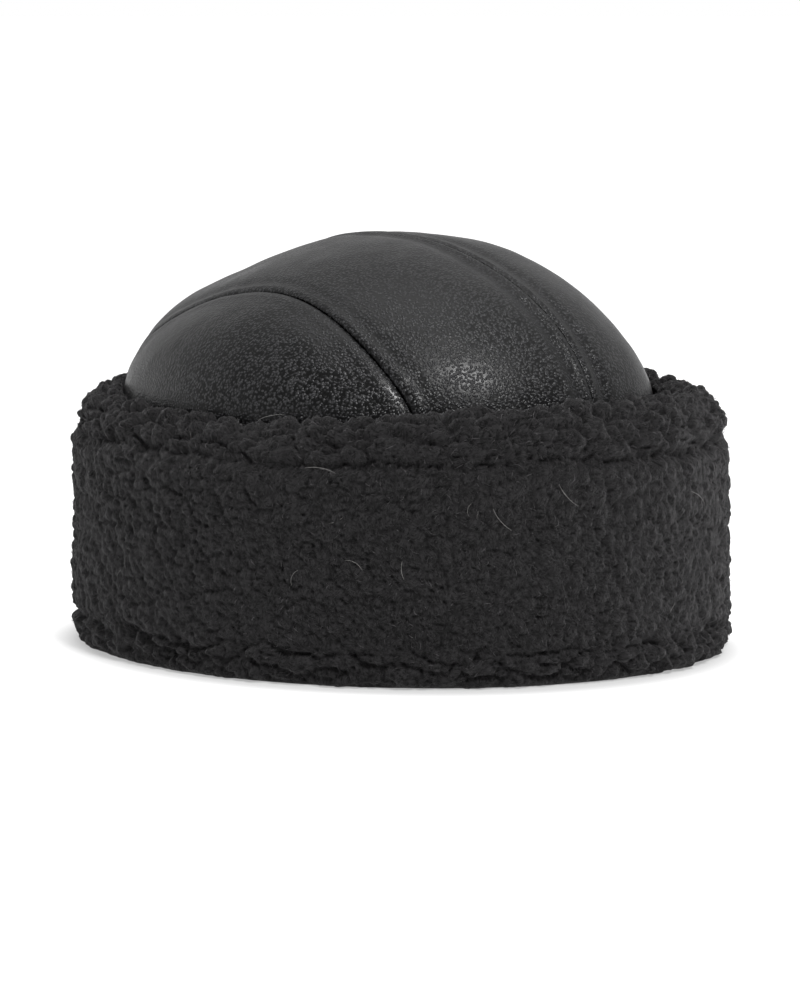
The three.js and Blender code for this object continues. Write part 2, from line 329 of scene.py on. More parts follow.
def face_outwards(piece):
    """Merges the doubles of a closed mesh and turns all its faces outwards."""
    bm = bmesh.new()
    bm.from_mesh(piece.data)
    bmesh.ops.remove_doubles(bm, verts=bm.verts, dist=MERGE_DISTANCE)
    bmesh.ops.recalc_face_normals(bm, faces=bm.faces)
    bm.to_mesh(piece.data)
    bm.free()


def steady(piece):
    """Puts the parts of a mesh of four-sided faces in an order that its shape alone decides,
    because merging leaves them in another order on each run."""
    mesh = piece.data
    at = corners(piece)
    order = np.lexsort(np.round(at, 6).T)
    rank = np.empty(len(at), int)
    rank[order] = np.arange(len(at))
    quads = rank[face_corners(piece)]
    first = quads.argmin(axis=1)
    quads = np.take_along_axis(quads, (first[:, None] + np.arange(4)) % 4, axis=1)
    quads = quads[np.lexsort(quads.T[::-1])]
    mesh.loops.foreach_set("vertex_index", quads.ravel().astype(np.int32))
    mesh.update(calc_edges=True)
    set_corners(piece, at[order])


def face_corners(piece):
    """The four vertices of each face, as rows."""
    loops = np.empty(len(piece.data.loops), np.int32)
    piece.data.loops.foreach_get("vertex_index", loops)
    return loops.reshape(-1, 4)


def finish_piece(piece, slot, material, *nodes):
    """Gives a piece its material and its place in the frame."""
    piece.data.materials.append(material)
    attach(piece, "root")
    if nodes:
        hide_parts(*nodes)


# Materials


def add_node(tree, kind, settings=(), links=()):
    """Adds a node, sets what settings names, and links its inputs to the given sockets."""
    node = tree.nodes.new(kind)
    for name, value in dict(settings).items():
        if isinstance(name, str) and hasattr(node, name):
            setattr(node, name, value)
        else:
            node.inputs[name].default_value = value
    for name, socket in dict(links).items():
        tree.links.new(socket, node.inputs[name])
    return node


def new_material(name, **shader):
    """A material with one Principled shader, and its tree and shader."""
    material = bpy.data.materials.new(name)
    material.use_nodes = True
    tree = material.node_tree
    principled = tree.nodes["Principled BSDF"]
    for socket, value in shader.items():
        principled.inputs[socket.replace("_", " ")].default_value = value
    return material, tree, principled


def place_on_piece(tree):
    """The socket that gives a pattern its place on the piece."""
    return add_node(tree, "ShaderNodeTexCoord").outputs["Object"]


def grey(value):
    """A value as an opaque grey."""
    return (value, value, value, 1)


def opaque(colour, share=1.0):
    """A share of a colour as an opaque colour."""
    return (*[c * share for c in colour], 1)


# Sizes in the leather's grain.
GRAIN = {
    "pebble": 1.08 * MM, "depth": 0.24 * MM, "bend": 0.75 * MM, "bend_size": 0.9 * MM,
    "patch": 24 * MM,
}
# Painted shade in the pits between the pebbles, and painted glints on their tops, many times lighter than
# the leather's colour.
PAINTED_PIT_SHADE_AND_GLINT = {"pit": 0.5, "top": 7.2}  # shares of the leather's colour


def leather_material(crown):
    """Sheepskin nappa, drum-dyed: small round pebbles with dark pits between them, a half matt face,
    and single grains that catch the light. The pits' darkness is painted shade, and the pebbles'
    tops are painted glints, many times lighter than the leather's colour. The pebbles are as wide
    as they show in the view, which may be coarser than the real grain."""
    material, tree, shader = new_material("sheepskin_nappa", Specular_IOR_Level=0.38)
    place = place_on_piece(tree)
    broad = add_node(tree, "ShaderNodeTexNoise", {
        "Scale": 1 / GRAIN["patch"], "Detail": 4.0, "Roughness": 0.6}, {"Vector": place})
    bend = add_node(tree, "ShaderNodeTexNoise", {
        "Scale": 1 / GRAIN["bend_size"], "Detail": 1.0}, {"Vector": place})
    bent = add_node(tree, "ShaderNodeVectorMath", {
        "operation": "MULTIPLY_ADD", 1: (GRAIN["bend"],) * 3}, {0: bend.outputs["Color"], 2: place})
    cells = add_node(tree, "ShaderNodeTexVoronoi", {
        "feature": "F1", "Scale": 1 / GRAIN["pebble"], "Randomness": 1.0}, {"Vector": bent.outputs[0]})
    pebble = add_node(tree, "ShaderNodeMapRange", {
        "interpolation_type": "SMOOTHSTEP", "From Min": 0.66, "From Max": 0.02,
        "To Min": 0.0, "To Max": 1.0}, {"Value": cells.outputs["Distance"]})
    bump = add_node(tree, "ShaderNodeBump", {
        "Strength": 1.0, "Distance": GRAIN["depth"]}, {"Height": pebble.outputs[0]})
    tree.links.new(bump.outputs["Normal"], shader.inputs["Normal"])
    rough = add_node(tree, "ShaderNodeMapRange", {
        "From Min": 0.35, "From Max": 0.65, "To Min": 0.29, "To Max": 0.38}, {"Value": broad.outputs["Fac"]})
    tree.links.new(rough.outputs[0], shader.inputs["Roughness"])
    # Painted shade and painted glints: the base colour is darker in the pits and much lighter on the pebble
    # tops.
    tone = add_node(tree, "ShaderNodeMix", {
        "data_type": "RGBA", "A": opaque(crown.colour, PAINTED_PIT_SHADE_AND_GLINT["pit"]),
        "B": opaque(crown.colour, PAINTED_PIT_SHADE_AND_GLINT["top"])}, {"Factor": pebble.outputs[0]})
    tree.links.new(tone.outputs["Result"], shader.inputs["Base Color"])
    return material


STREAKS = (2.3 / MM, 0.8 / MM, 1.0)  # across a lock, along it, and from lock to lock
STREAK_DEPTH = 0.6 * MM
# Painted shade: the share of the wool's colour down between the curls. The darkest single hairs take the
# same share.
PAINTED_GAP_SHADE_AND_DARK_HAIRS = 0.1  # of the wool's colour, down between the curls


def wool_material(name, cuff, streaky):
    """Curly sheep's wool, piece-dyed: matt and soft, with painted shade that darkens it down
    between the curls by the tone that the pieces store. The hairs of a curl are streaks that run
    along its lock, drawn about 0.4 mm wide, because a single hair is too fine to show. On the
    single hairs the tone is each hair's own, not shade."""
    material, tree, shader = new_material(
        name, Roughness=0.8, Specular_IOR_Level=0.2, Sheen_Weight=0.9, Sheen_Roughness=0.35,
        Sheen_Tint=opaque(cuff.sheen_colour))
    factor = add_node(tree, "ShaderNodeAttribute", {"attribute_name": "tone"}).outputs["Fac"]
    if streaky:
        lock = add_node(tree, "ShaderNodeAttribute", {"attribute_name": "lock"})
        fine = add_node(tree, "ShaderNodeVectorMath", {
            "operation": "MULTIPLY", 1: STREAKS}, {0: lock.outputs["Vector"]})
        hairs = add_node(tree, "ShaderNodeTexNoise", {
            "Scale": 1.0, "Detail": 2.0, "Roughness": 0.65, "Distortion": 0.8}, {"Vector": fine.outputs[0]})
        streak = add_node(tree, "ShaderNodeMapRange", {
            "From Min": 0.42, "From Max": 0.64, "To Min": 0.0, "To Max": 2.2},
            {"Value": hairs.outputs["Fac"]})
        factor = add_node(tree, "ShaderNodeMath", {
            "operation": "MULTIPLY"}, {0: factor, 1: streak.outputs[0]}).outputs[0]
        bump = add_node(tree, "ShaderNodeBump", {
            "Strength": 0.8, "Distance": STREAK_DEPTH}, {"Height": hairs.outputs["Fac"]})
        tree.links.new(bump.outputs["Normal"], shader.inputs["Normal"])
    # On the curly wool the stored tone is painted shade and painted light. On the hairs it is each hair's
    # own tone.
    colour = add_node(tree, "ShaderNodeMix", {
        "data_type": "RGBA", "A": opaque(cuff.colour, PAINTED_GAP_SHADE_AND_DARK_HAIRS),
        "B": opaque(cuff.tip_colour if streaky else cuff.hair_colour)}, {"Factor": factor})
    tree.links.new(colour.outputs["Result"], shader.inputs["Base Color"])
    return material


NAP = {"size": 0.8 * MM, "depth": 0.2 * MM}


def suede_material():
    """The napped skin side of the cuff: matt, with a short even nap, drawn coarser than it
    is, because a real one is too fine to show."""
    material, tree, shader = new_material("sheepskin_suede", Roughness=0.9)
    nap = add_node(tree, "ShaderNodeTexNoise", {
        "Scale": 1 / NAP["size"], "Detail": 4.0}, {"Vector": place_on_piece(tree)})
    colour = add_node(tree, "ShaderNodeMix", {
        "data_type": "RGBA", "A": opaque(linear("#1A1A1A")), "B": opaque(linear("#2C2B2B"))},
        {"Factor": nap.outputs["Fac"]})
    tree.links.new(colour.outputs["Result"], shader.inputs["Base Color"])
    bump = add_node(tree, "ShaderNodeBump", {
        "Strength": 0.4, "Distance": NAP["depth"]}, {"Height": nap.outputs["Fac"]})
    tree.links.new(bump.outputs["Normal"], shader.inputs["Normal"])
    return material


def kemp_material():
    """Kemp, the coarse pale hairs among the wool: smooth and a little glossy."""
    return new_material("kemp_hair", Roughness=0.5, Base_Color=opaque(linear("#A09E9C")))[0]


def set_tone(piece, values):
    """Stores how light each vertex of a woolly piece is: painted shade and painted light on the
    curly wool, and each hair's own tone on the hairs.
    """
    attribute = piece.data.attributes.new("tone", "FLOAT", "POINT")
    attribute.data.foreach_set("value", np.asarray(values, np.float32))


# Leather panels


ARCH_SHARE = 0.9  # of a panel's length that lies on the dome; the rest is the wall
EDGE_DENSITY = 0.72  # how much closer the rows lie at a seam, from 0 to under 1
TOP_GRID = {"across": 52, "along": 160}
SIDE_GRID = {"across": 48, "along": 110}
CENTRE_CLOSER = 3  # how many times narrower the gap is at the centre seam
SIDE_EASE = {"share": 0.75, "power": 1.5}  # how the rows of a side panel close up at its seam
# The slow swells of worn leather, in millimetres.
WORN = ({"height": 0.45, "size": 26, "seed": 1}, {"height": 0.18, "size": 8, "seed": 2})


def dense_at_edges(share):
    """Shares from 0 to 1, moved towards both ends."""
    return share - EDGE_DENSITY * np.sin(2 * math.pi * share) / (2 * math.pi)


def grid_shares(name, across, along):
    """A flat grid as an object, and its vertices' places from 0 to 1 across and -1 to 1 along."""
    bm = bmesh.new()
    bmesh.ops.create_grid(bm, x_segments=across, y_segments=along, size=1)
    piece = object_from(name, bm)
    places = corners(piece)
    return piece, (places[:, 0] + 1) / 2, places[:, 1]


def arch_and_drop(along, crown):
    """Splits the way along a panel into the arch, from -1 to 1, and the drop down the wall."""
    arch = np.clip(along / ARCH_SHARE, -1, 1)
    below = np.clip((np.abs(along) - ARCH_SHARE) / (1 - ARCH_SHARE), 0, 1)
    return np.sin(arch * math.pi / 2), below * (crown.rim - crown.lower_edge)


def top_panel(name, side, crown):
    """One half of the band over the top, from the centre seam to a side seam."""
    piece, share, along = grid_shares(name, **TOP_GRID)
    half_gap = crown.seam_gap / 2 / crown.half_width

    def line(v, row):
        inner = centre_seam(v) + side * half_gap / CENTRE_CLOSER
        outer = side * (side_seam(v, crown) - half_gap)
        return inner + (outer - inner) * row

    row = dense_at_edges(share)
    ease, drop = arch_and_drop(along, crown)
    front = rim_crossing(line, row, -1)
    back = rim_crossing(line, row, 1)
    v = (front + back) / 2 + ease * (back - front) / 2
    set_corners(piece, crown_points(line(v, row), v, drop, crown))
    return piece


def side_panel(name, side, crown):
    """A half-moon side panel, from its seam out to the rim and down the wall."""
    piece, share, along = grid_shares(name, **SIDE_GRID)
    half_gap = crown.seam_gap / 2 / crown.half_width

    def seam(v, _row):
        return side * (side_seam(v, crown) + half_gap)

    front = rim_crossing(seam, share, -1)
    back = rim_crossing(seam, share, 1)
    v_seam = (front + back) / 2 + np.sin(along * math.pi / 2) * (back - front) / 2
    u_seam = seam(v_seam, share)
    first = np.arctan2(front, np.abs(seam(front, share)))
    last = np.arctan2(back, np.abs(seam(back, share)))
    turn = first + (last - first) * (along + 1) / 2
    u_rim, v_rim = side * np.cos(turn), np.sin(turn)
    out = np.clip(share / ARCH_SHARE, 0, 1)
    eased = (1 - SIDE_EASE["share"]) * out + SIDE_EASE["share"] * out ** SIDE_EASE["power"]
    out = np.sin(eased * math.pi / 2)
    drop = np.clip((share - ARCH_SHARE) / (1 - ARCH_SHARE), 0, 1) * (crown.rim - crown.lower_edge)
    u = u_seam + (u_rim - u_seam) * out
    v = v_seam + (v_rim - v_seam) * out
    set_corners(piece, crown_points(u, v, drop, crown))
    return piece


def face_up(piece):
    """Turns all faces of an open dome to its outside."""
    bm = bmesh.new()
    bm.from_mesh(piece.data)
    bmesh.ops.recalc_face_normals(bm, faces=bm.faces)
    if sum(face.normal.z for face in bm.faces) < 0:
        bmesh.ops.reverse_faces(bm, faces=bm.faces)
    bm.to_mesh(piece.data)
    bm.free()


def give_thickness(piece, crown):
    """Adds the skin's thickness inwards, after a few slow swells of the worn leather."""
    face_up(piece)
    places = corners(piece)
    swell = sum(row["height"] * MM * wavy(places, row["size"] * MM, row["seed"]) for row in WORN)
    calm = np.clip((places[:, 2] - crown.lower_edge) / (crown.rim - crown.lower_edge), 0, 1)
    set_corners(piece, places + normals(piece) * (swell * calm)[:, None])
    wall = piece.modifiers.new("skin", "SOLIDIFY")
    wall.thickness = crown.skin
    wall.offset = -1
    wall.use_even_offset = True


class HAT_OT_crown_leather(bpy.types.Operator):
    """Makes the four leather panels of the crown"""
    bl_idname = "hat.crown_leather"
    bl_label = "Crown leather"

    def execute(self, context):
        crown = context.scene.hat_crown
        leather = leather_material(crown)
        for side, ear in ((-1, "right"), (1, "left")):
            top = top_panel(f"leather_top_{ear}", side, crown)
            flank = side_panel(f"leather_side_{ear}", side, crown)
            for piece, node in ((top, f"crown_top_{ear}"), (flank, f"crown_side_{ear}")):
                give_thickness(piece, crown)
                finish_piece(piece, "crown_leather", leather, node)
        return {"FINISHED"}


# Wool


# The section of the cuff's wool in millimetres, out from the crown's leather and up, from the
# middle of the foot up the face and over the top edge. A stretch with a corner bends round it.
OUTSIDE = (
    {"stretch": "start", "out": 9, "z": 0},
    {"stretch": "foot", "out": 21, "z": 0},
    {"stretch": "roll", "out": 26.2, "z": 15, "corner": (27, 0)},
    {"stretch": "face", "out": 25.4, "z": 78},
    {"stretch": "top_roll", "out": 12, "z": 98.8, "corner": (24, 94)},
    {"stretch": "crest", "out": 3.4, "z": 95, "corner": (5, 100.5)},
)
OUTSIDE_BACK = ((6, 93), (6, 50), (6, 14), (5.2, 9.5), (4, 7.5))
INSIDE = (
    {"stretch": "start", "out": -10.5, "z": 60.5},
    {"stretch": "wall", "out": -10.5, "z": 13},
    {"stretch": "roll", "out": -3, "z": 0, "corner": (-10.5, 0)},
    {"stretch": "foot", "out": 9.4, "z": 0.3},
)
INSIDE_BACK = ((3.6, 7.2), (1.5, 6.7), (-1.5, 9), (-2.9, 13), (-2.9, 60.5))


# How far the cuff's top edge rises or has sunk, round the hat from the front by the left ear.
TOP_EDGE = (
    {"turn": -165, "rise": 0.5},
    {"turn": -130, "rise": 0.8},
    {"turn": -106, "rise": -2.4},
    {"turn": -90, "rise": -3.8},
    {"turn": -75, "rise": -0.8},
    {"turn": -58, "rise": 2.2},
    {"turn": -31, "rise": 5.2},
    {"turn": -15, "rise": 4.8},
    {"turn": 0, "rise": 3.4},
    {"turn": 14, "rise": 1.2},
    {"turn": 45, "rise": 0},
    {"turn": 90, "rise": -2},
    {"turn": 125, "rise": -3.4},
    {"turn": 165, "rise": -1},
)


CURVE_STEPS = 40  # to a stretch of a section, before its places are evened out
EDGE_START = {"reach": 8 * MM, "share": 0.4}  # where the top edge starts to rise or sink, going out
SPIN_RADIUS = 1.0  # of a ring while it is spun, before it is bent to the oval


def section_points(stretches, spacing):
    """Even places along a section, out and up in metres."""
    dense = [np.array([stretches[0]["out"], stretches[0]["z"]], float)]
    for row in stretches[1:]:
        start, end = dense[-1], np.array([row["out"], row["z"]], float)
        corner = np.array(row.get("corner", (start + end) / 2), float)
        for step in np.linspace(0, 1, CURVE_STEPS + 1)[1:]:
            dense.append((1 - step) ** 2 * start + 2 * step * (1 - step) * corner + step ** 2 * end)
    dense = np.array(dense) * MM
    run = np.r_[0, np.cumsum(np.linalg.norm(np.diff(dense, axis=0), axis=1))]
    at = np.linspace(0, run[-1], int(round(run[-1] / spacing)) + 1)
    return np.stack([np.interp(at, run, dense[:, 0]), np.interp(at, run, dense[:, 1])], 1)


def cuff_points(turn, out, z, crown, cuff):
    """Points of the cuff: out is from the crown's leather, turn goes from the front."""
    share = out / cuff.depth
    width = crown.half_width + (cuff.half_width - crown.half_width) * share
    length = crown.half_length + (cuff.half_length - crown.half_length) * share
    middle = crown.set_back * (1 - share)
    above = np.maximum(0, z - crown.lower_edge) / (SKIN_TOP - crown.lower_edge)
    beyond = np.clip(out / EDGE_START["reach"] - EDGE_START["share"], 0, 1)
    turns = [row["turn"] for row in TOP_EDGE]
    rises = [row["rise"] for row in TOP_EDGE]
    settled = np.interp(np.degrees(turn), turns, rises, period=360) * MM
    height = z + cuff.lean * np.sin(turn) * above + settled * beyond * above
    return np.stack([width * np.sin(turn), middle - length * np.cos(turn), height], 1)


def wool_ring(name, woolly, back, columns, crown, cuff):
    """A closed ring round the hat: its section is spun, and then bent to the cuff's oval."""
    section = np.vstack([woolly, np.array(back) * MM])
    bm = bmesh.new()
    loop = bmesh.ops.create_circle(bm, segments=len(section), radius=SPIN_RADIUS)["verts"]
    for vert, (out, z) in zip(loop, section):
        vert.co = (0, -SPIN_RADIUS - out, z)
    bmesh.ops.spin(
        bm, geom=bm.verts[:] + bm.edges[:], cent=(0, 0, 0), axis=(0, 0, 1), dvec=(0, 0, 0),
        angle=math.tau, steps=columns, use_merge=True, use_duplicate=False)
    piece = object_from(name, bm)
    places = corners(piece)
    step = math.tau / columns
    turn = np.round(np.arctan2(places[:, 0], -places[:, 1]) / step) % columns * step
    tree = tree_of([(out, 0, z) for out, z in section])
    reach = np.hypot(places[:, 0], places[:, 1]) - SPIN_RADIUS
    row = [tree.find((out, 0, z))[1] for out, z in zip(reach, places[:, 2])]
    set_corners(piece, cuff_points(turn, section[row, 0], section[row, 1], crown, cuff))
    face_outwards(piece)
    steady(piece)
    return piece


def tree_of(points):
    """A search tree of points."""
    tree = kdtree.KDTree(len(points))
    for i, point in enumerate(points):
        tree.insert(point, i)
    tree.balance()
    return tree


# How closely curls are tried and how far apart they stay, as shares of their pitch.
CROWDING = {"tries": 2.2, "apart": 0.8}


def curl_centres(piece, pitch, rng, keep):
    """Places of the curls on a woolly piece, about a pitch from each other."""
    points, directions = spread_on(piece, pitch * pitch / CROWDING["tries"], rng, keep)
    stays = thin_out(points, pitch * CROWDING["apart"])
    return points[stays], directions[stays]


NOISE_SEED = 4  # noise_vector takes its offsets from it, and from the clock without it
TALL = {"least": 0.6, "spread": 0.6}  # heights of the curls
CURL_ROUNDNESS = 2.4
# How far noise bends the cells of curls and tufts, and the size of its swells.
CURL_BEND = {"reach": 0.9 * MM, "size": 2.6 * MM}
TUFT_BEND = {"reach": 2.6 * MM, "size": 7 * MM}


def curl_field(places, centres, bend, rng):
    """Cells round centres: how far each place stands out of the gaps between the cells, from 0
    in a gap to about 1 on top, and its cell. Noise bends the cells, so that no two look alike."""
    noise.seed_set(NOISE_SEED)
    tree = tree_of(centres)
    tall = TALL["least"] + TALL["spread"] * rng.random(len(centres))
    heights = np.empty(len(places))
    cells = np.empty(len(places), int)
    for i, place in enumerate(places):
        place = Vector(place)
        bent = place + bend["reach"] * noise.noise_vector(place / bend["size"])
        (_, near, first), (_, _, second) = tree.find_n(bent, 2)
        share = first / max(second, TINY)
        heights[i] = tall[near] * math.sqrt(max(0.0, 1 - share ** CURL_ROUNDNESS))
        cells[i] = near
    return heights, cells


# Where the cuff's shaggy rolls begin, and over how many millimetres they do.
TOP_ROLL = {"from": 81, "over": 6}
FOOT_ROLL = {"from": 17, "over": 5}


def rolls_at(z):
    """How far heights in millimetres lie in the cuff's shaggy top roll or foot roll, 0 to 1."""
    top = np.clip((z - TOP_ROLL["from"]) / TOP_ROLL["over"], 0, 1)
    return top + np.clip((FOOT_ROLL["from"] - z) / FOOT_ROLL["over"], 0, 1)


# How locks turn in the surface: with slow noise, and each by a chance of its own.
LOCK_TURN = {"swing": 1.6, "size": 22 * MM, "seed": 9, "chance": 2.2}
LOCK_BOW = 0.5  # how much a lock curves in the surface, for each millimetre along it
LOCK_NUMBERS = 9  # the range of the locks' own numbers
LEVEL = 0.1  # a surface whose slope is under this has no way down


def lock_directions(centres, ups, rng):
    """For each curl the direction of its lock in the surface, and the direction across it.
    Neighbouring locks fall much the same way, down the face and level on the rolls."""
    down = np.array([0, 0, -1.0])
    sideways = np.cross(ups, down)
    sideways[np.linalg.norm(sideways, axis=1) < LEVEL] = (1, 0, 0)
    sideways /= np.linalg.norm(sideways, axis=1)[:, None]
    along = np.cross(sideways, ups)
    level = rolls_at(centres[:, 2] / MM) * math.pi / 2
    swing = LOCK_TURN["swing"] * wavy(centres, LOCK_TURN["size"], LOCK_TURN["seed"])
    angle = level + swing + (LOCK_TURN["chance"] - level) * (rng.random(len(centres)) - 0.5)
    locks = along * np.cos(angle)[:, None] + sideways * np.sin(angle)[:, None]
    return locks, np.cross(ups, locks)


def set_locks(piece, places, cells, centres, locks, across, rng):
    """Stores where each vertex lies in its lock: across it, along it, and the lock's own number."""
    away = places - centres[cells]
    along = (away * locks[cells]).sum(1)
    aside = (away * across[cells]).sum(1)
    bow = (rng.random(len(centres)) - 0.5) * LOCK_BOW / MM
    aside = aside + bow[cells] * along * along
    number = rng.random(len(centres))[cells] * LOCK_NUMBERS
    attribute = piece.data.attributes.new("lock", "FLOAT_VECTOR", "POINT")
    attribute.data.foreach_set("vector", np.stack([aside, along, number], 1).astype(np.float32).ravel())


TUFT_STRETCH = np.array([1, 1, 1.7])  # tufts of the cuff are longer than they are high
# The parted lines that run round the cuff under its top and over its foot, in millimetres.
CREASES = (
    {"z": 83, "wander": 3.2, "width": 2.6, "depth": 3.4, "seed": 31},
    {"z": 13, "wander": 2.2, "width": 2.2, "depth": 2.2, "seed": 37},
)
# The noise that moves these lines and makes them weak or strong, on a ring of radius 1.
WANDER = {"slow": 0.35, "quick": 0.12, "quick_share": 0.5}
STRENGTH = {"size": 0.5, "middle": 0.65, "swing": 0.8, "least": 0.15}
RING_STEP = 1.7  # how far apart the rings of two seeds lie in the noise


def crease_depths(places):
    """How deep the parted lines lie that run round the cuff under its top and over its foot."""
    turn = np.arctan2(places[:, 0], -places[:, 1])
    depths = np.zeros(len(places))
    for crease in CREASES:
        level = np.full(len(turn), crease["seed"] * RING_STEP)
        ring = np.stack([np.sin(turn), np.cos(turn), level], 1)
        wander = wavy(ring, WANDER["slow"], 1) + WANDER["quick_share"] * wavy(ring, WANDER["quick"], 2)
        line = crease["z"] * MM + crease["wander"] * MM * wander
        strong = STRENGTH["middle"] + STRENGTH["swing"] * wavy(ring, STRENGTH["size"], 3)
        away = (places[:, 2] - line) / (crease["width"] * MM)
        depths += crease["depth"] * MM * np.clip(strong, STRENGTH["least"], 1) * np.exp(-away * away)
    return depths


# Partings between tufts: their length and height in millimetres, and how much of their depth
# is left on the face between the rolls.
PARTING = {"length": 15, "height": 5.5, "depth": 2.6 * MM, "width": 0.11, "on_face": 0.12}


def partings(places):
    """Short wandering partings between the shaggy tufts of the two rolls, mostly level."""
    flat = places * np.array([1 / PARTING["length"], 1 / PARTING["length"], 1 / PARTING["height"]]) / MM
    lines = np.array([noise.noise(Vector(p)) for p in flat])
    strong = PARTING["on_face"] + (1 - PARTING["on_face"]) * rolls_at(places[:, 2] / MM)
    return PARTING["depth"] * np.exp(-(lines / PARTING["width"]) ** 2) * strong


# A place counts as outside or inside by how far its direction points away from the middle of
# the hat, times its distance from there, or else by how far it points up or down.
FACING = {"out": -0.02, "top": 0.3, "in": -0.01, "under": -0.5}


def outward(at, up):
    """Whether places lie on the outside of the cuff's wool and not on its backing."""
    away = at[:, 0] * up[:, 0] + at[:, 1] * up[:, 1]
    return (away > FACING["out"]) | (up[:, 2] > FACING["top"])


def inward(at, up):
    """Whether places lie on the inside of the cuff's wool and not on its backing."""
    away = at[:, 0] * up[:, 0] + at[:, 1] * up[:, 1]
    return (away < FACING["in"]) | (up[:, 2] < FACING["under"])


# The two rings of the cuff's wool. The spacing is from one row of the section to the next.
RINGS = (
    {
        "name": "wool_cuff_outside", "section": OUTSIDE, "back": OUTSIDE_BACK,
        "spacing": 1.05 * MM, "columns": 740, "relief": 2.2 * MM, "facing": outward, "parted": True,
    },
    {
        "name": "wool_cuff_inside", "section": INSIDE, "back": INSIDE_BACK,
        "spacing": 1.8 * MM, "columns": 330, "relief": 1.5 * MM, "facing": inward, "parted": False,
    },
)
CURL_LEVEL = 0.45  # the height of a curl that leaves the surface where it is
TUFT_LEVEL = 0.6
CURL_SHARE = {"face": 0.85, "rolls": 0.2}  # of a ring's relief, and how much more on the rolls
TUFT_HEIGHT = {"face": 1.7, "rolls": 1.8}  # in millimetres
CUFF_SWELL = {"height": 0.9 * MM, "size": 30 * MM, "seed": 6}
CLUMP = 3  # a tuft is this many curls wide
CUFF_SEED = 7
FOOT_FADE = 3 * MM  # the height over the floor at which the relief is full
# How the stored tone of the cuff's wool follows the curls. Painted shade makes it darker down between the
# curls, by their height. Painted light makes it lighter on the shaggy rolls.
PAINTED_CURL_SHADE_AND_ROLL_LIGHT = {"steep": 1.15, "start": 0.05, "rolls": 0.45}


def cuff_relief(places, heights, masses, ring):
    """How far the wool is raised by its curls, its tufts and slow swells, and sunk by partings."""
    rolls = rolls_at(places[:, 2] / MM)
    curls = ring["relief"] * (CURL_SHARE["face"] + CURL_SHARE["rolls"] * rolls) * (heights - CURL_LEVEL)
    tufts = (TUFT_HEIGHT["face"] + TUFT_HEIGHT["rolls"] * rolls) * MM * (masses - TUFT_LEVEL)
    swell = CUFF_SWELL["height"] * wavy(places, CUFF_SWELL["size"], CUFF_SWELL["seed"])
    raised = curls + tufts + swell
    if ring["parted"]:
        raised = raised - crease_depths(places) - partings(places)
    return raised


class HAT_OT_cuff_wool(bpy.types.Operator):
    """Makes the two rings of the cuff's wool, outside and inside"""
    bl_idname = "hat.cuff_wool"
    bl_label = "Cuff wool"

    def execute(self, context):
        crown, cuff, curls = context.scene.hat_crown, context.scene.hat_cuff, context.scene.hat_curls
        rng = np.random.default_rng(CUFF_SEED)
        wool = wool_material("curly_wool", cuff, True)
        for ring in RINGS:
            section = section_points(ring["section"], ring["spacing"])
            piece = wool_ring(ring["name"], section, ring["back"], ring["columns"], crown, cuff)
            facing = ring["facing"]
            centres, ups = curl_centres(piece, curls.pitch, rng, facing)
            clumps, _ = curl_centres(piece, CLUMP * curls.pitch, rng, facing)
            locks, across = lock_directions(centres, ups, rng)
            places, up = corners(piece), normals(piece)
            heights, cells = curl_field(places, centres, CURL_BEND, rng)
            masses, _ = curl_field(places * TUFT_STRETCH, clumps * TUFT_STRETCH, TUFT_BEND, rng)
            raised = cuff_relief(places, heights, masses, ring)
            low = np.clip(places[:, 2] / FOOT_FADE, 0, 1)
            moved = places + up * (raised * facing(places, up) * low)[:, None]
            moved[:, 2] = np.maximum(moved[:, 2], 0)
            set_corners(piece, moved)
            # Painted shade between the curls, and painted light on the top roll and the foot roll.
            tone = np.clip(PAINTED_CURL_SHADE_AND_ROLL_LIGHT["steep"] * heights - PAINTED_CURL_SHADE_AND_ROLL_LIGHT["start"], 0, 1)
            set_tone(piece, tone * (1 + PAINTED_CURL_SHADE_AND_ROLL_LIGHT["rolls"] * rolls_at(places[:, 2] / MM)))
            set_locks(piece, places, cells, centres, locks, across, rng)
            finish_piece(piece, "curly_fleece", wool, "cuff_fleece")
        return {"FINISHED"}


WALL_ANGLE = 0.33  # of the half ball that becomes the crown's wool, the part that is the wall
CROWN_SEED = 5
BALL_CUTS = 79  # of each edge of the cube that becomes the ball
BELOW = -1e-4  # corners of the ball under this are cut away
# The crown's wool: its gap over the hidden seam, how much wider its curls are than the cuff's,
# their height and how much painted shade darkens the wool between them, the slow swells, and its gap to the
# leather.
INNER_WOOL = {
    "foot_gap": 0.5 * MM, "wider": 1.2, "relief": 1.6 * MM, "tone": 0.85,
    "swell": 0.8 * MM, "swell_size": 14 * MM, "swell_seed": 8, "leather_gap": 2.5 * MM,
}


def above_floor(at, _up):
    """Whether places lie above the floor."""
    return at[:, 2] > 0


